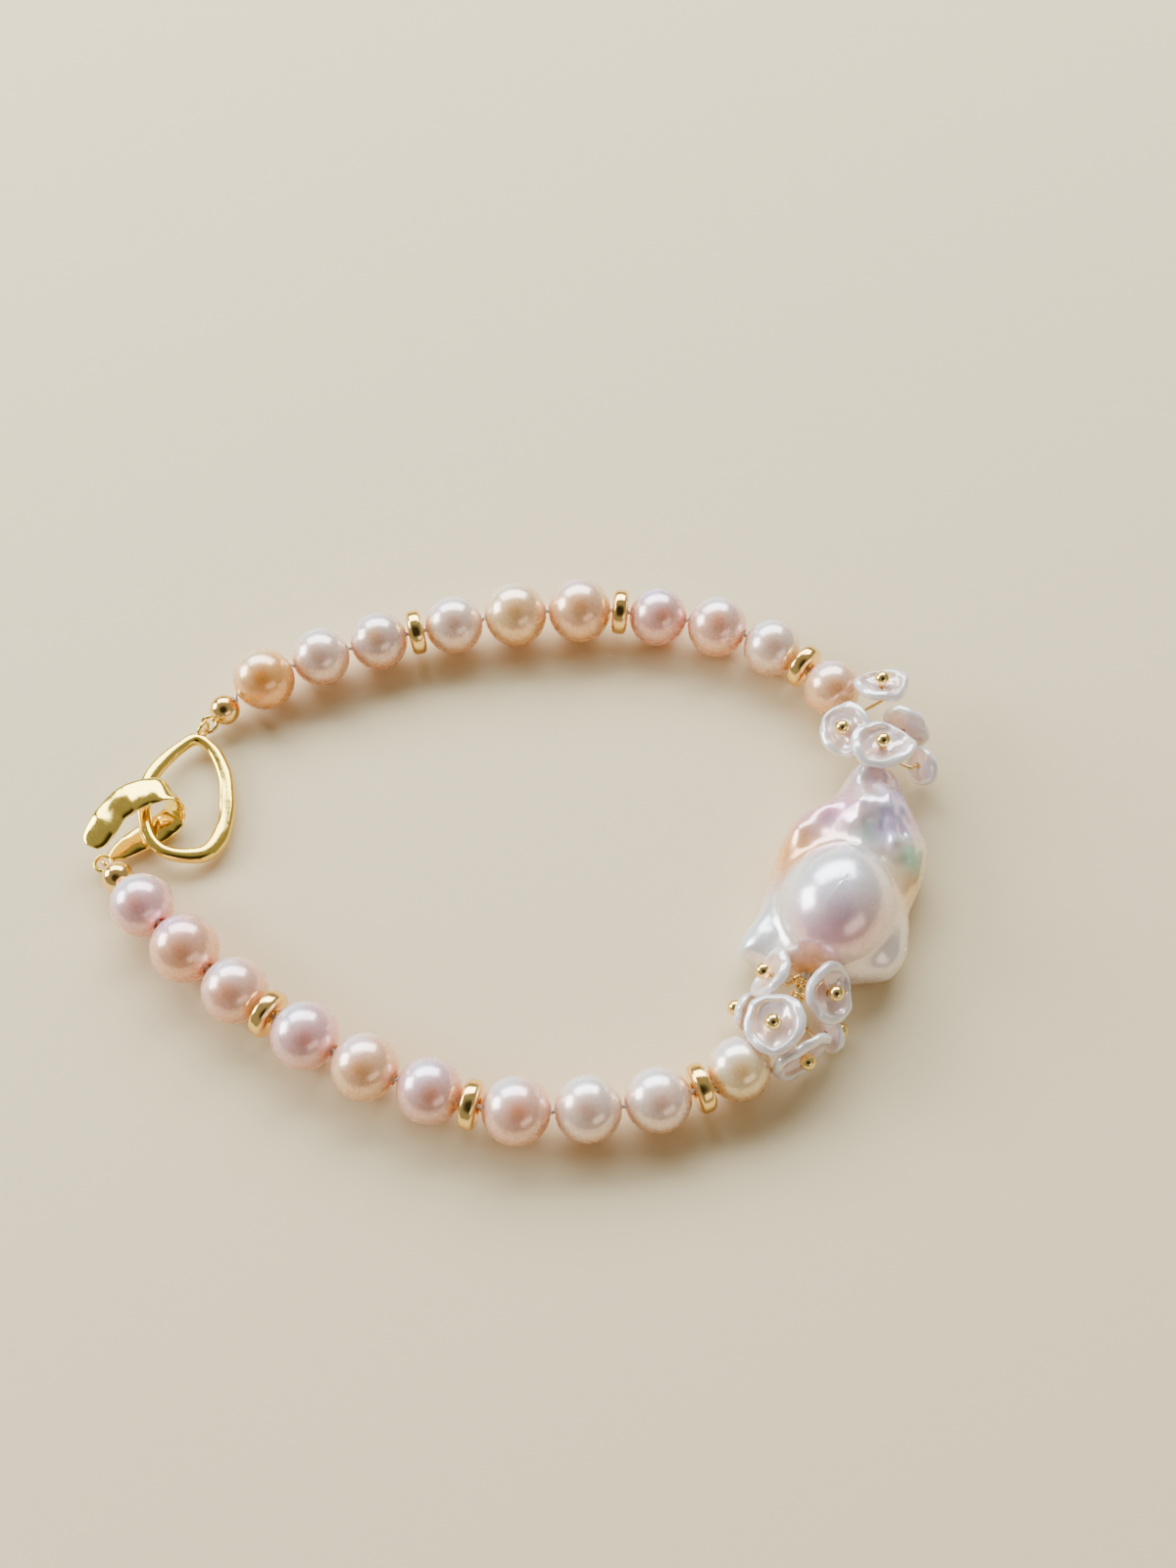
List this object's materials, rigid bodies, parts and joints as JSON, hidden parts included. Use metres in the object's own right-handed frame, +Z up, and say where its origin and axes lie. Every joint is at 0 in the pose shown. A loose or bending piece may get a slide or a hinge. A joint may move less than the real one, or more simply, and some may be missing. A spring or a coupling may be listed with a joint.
{
  "type": "pearl bracelet",
  "caption": "Pearl bracelet with gold spacers, a flanged baroque pearl between keshi petal clusters and a hammered hook-and-ring clasp.",
  "frame": {"origin": "middle of the bracelet's footprint, on the surface that it lies on", "axes": "+Z up from the surface, +X from the clasp towards the baroque pearl, +Y towards the row of pearls between the clasp ring and the neck of the baroque pearl"},
  "size_m": [0.081, 0.0582, 0.0105],
  "materials": {
    "pearl_gold_peach": "polished nacre with a soft pink and green orient",
    "pearl_peach": "polished nacre with a soft pink and green orient",
    "pearl_cream": "polished nacre with a soft pink and green orient",
    "pearl_white": "polished nacre with a soft pink and green orient",
    "pearl_lavender": "polished nacre with a soft pink and green orient",
    "pearl_mauve": "polished nacre with a soft pink and green orient",
    "pearl_rose": "polished nacre with a soft pink and green orient",
    "baroque_nacre": "silky white nacre, iridescent on the wrinkled lobes",
    "petal_nacre": "glossy keshi nacre",
    "gold": "polished pale yellow gold plate, lightly hammered on the clasp",
    "thread": "plain beading thread"
  },
  "bodies": {
    "root": {"pearl_01": "pearl_gold_peach", "pearl_02": "pearl_white", "pearl_03": "pearl_lavender", "pearl_04": "pearl_white", "pearl_05": "pearl_gold_peach", "pearl_06": "pearl_peach", "pearl_07": "pearl_lavender", "pearl_08": "pearl_peach", "pearl_09": "pearl_white", "pearl_10": "pearl_rose", "pearl_11": "pearl_cream", "pearl_12": "pearl_white", "pearl_13": "pearl_rose", "pearl_14": "pearl_peach", "pearl_15": "pearl_mauve", "pearl_16": "pearl_peach", "pearl_17": "pearl_mauve", "pearl_18": "pearl_rose", "pearl_19": "pearl_gold_peach", "pearl_20": "pearl_lavender", "spacer_1": "gold", "spacer_2": "gold", "spacer_3": "gold", "spacer_4": "gold", "spacer_5": "gold", "spacer_6": "gold", "end_bead_1": "gold", "end_bead_2": "gold", "clasp_ring": "gold", "clasp_hook": "gold", "baroque_pearl": "baroque_nacre", "petal_a": "petal_nacre", "petal_b": "petal_nacre", "petal_c": "petal_nacre", "petal_d": "petal_nacre", "petal_e": "petal_nacre", "petal_f": "petal_nacre", "petal_g": "petal_nacre", "petal_h": "petal_nacre", "petal_i": "petal_nacre", "petal_j": "petal_nacre", "petal_k": "petal_nacre", "head_pin_a": "gold", "head_pin_b": "gold", "head_pin_c": "gold", "head_pin_d": "gold", "head_pin_e": "gold", "head_pin_f": "gold", "head_pin_g": "gold", "head_pin_h": "gold", "head_pin_i": "gold", "head_pin_j": "gold", "head_pin_k": "gold", "bead_thread": "thread"}
  },
  "joints": []
}
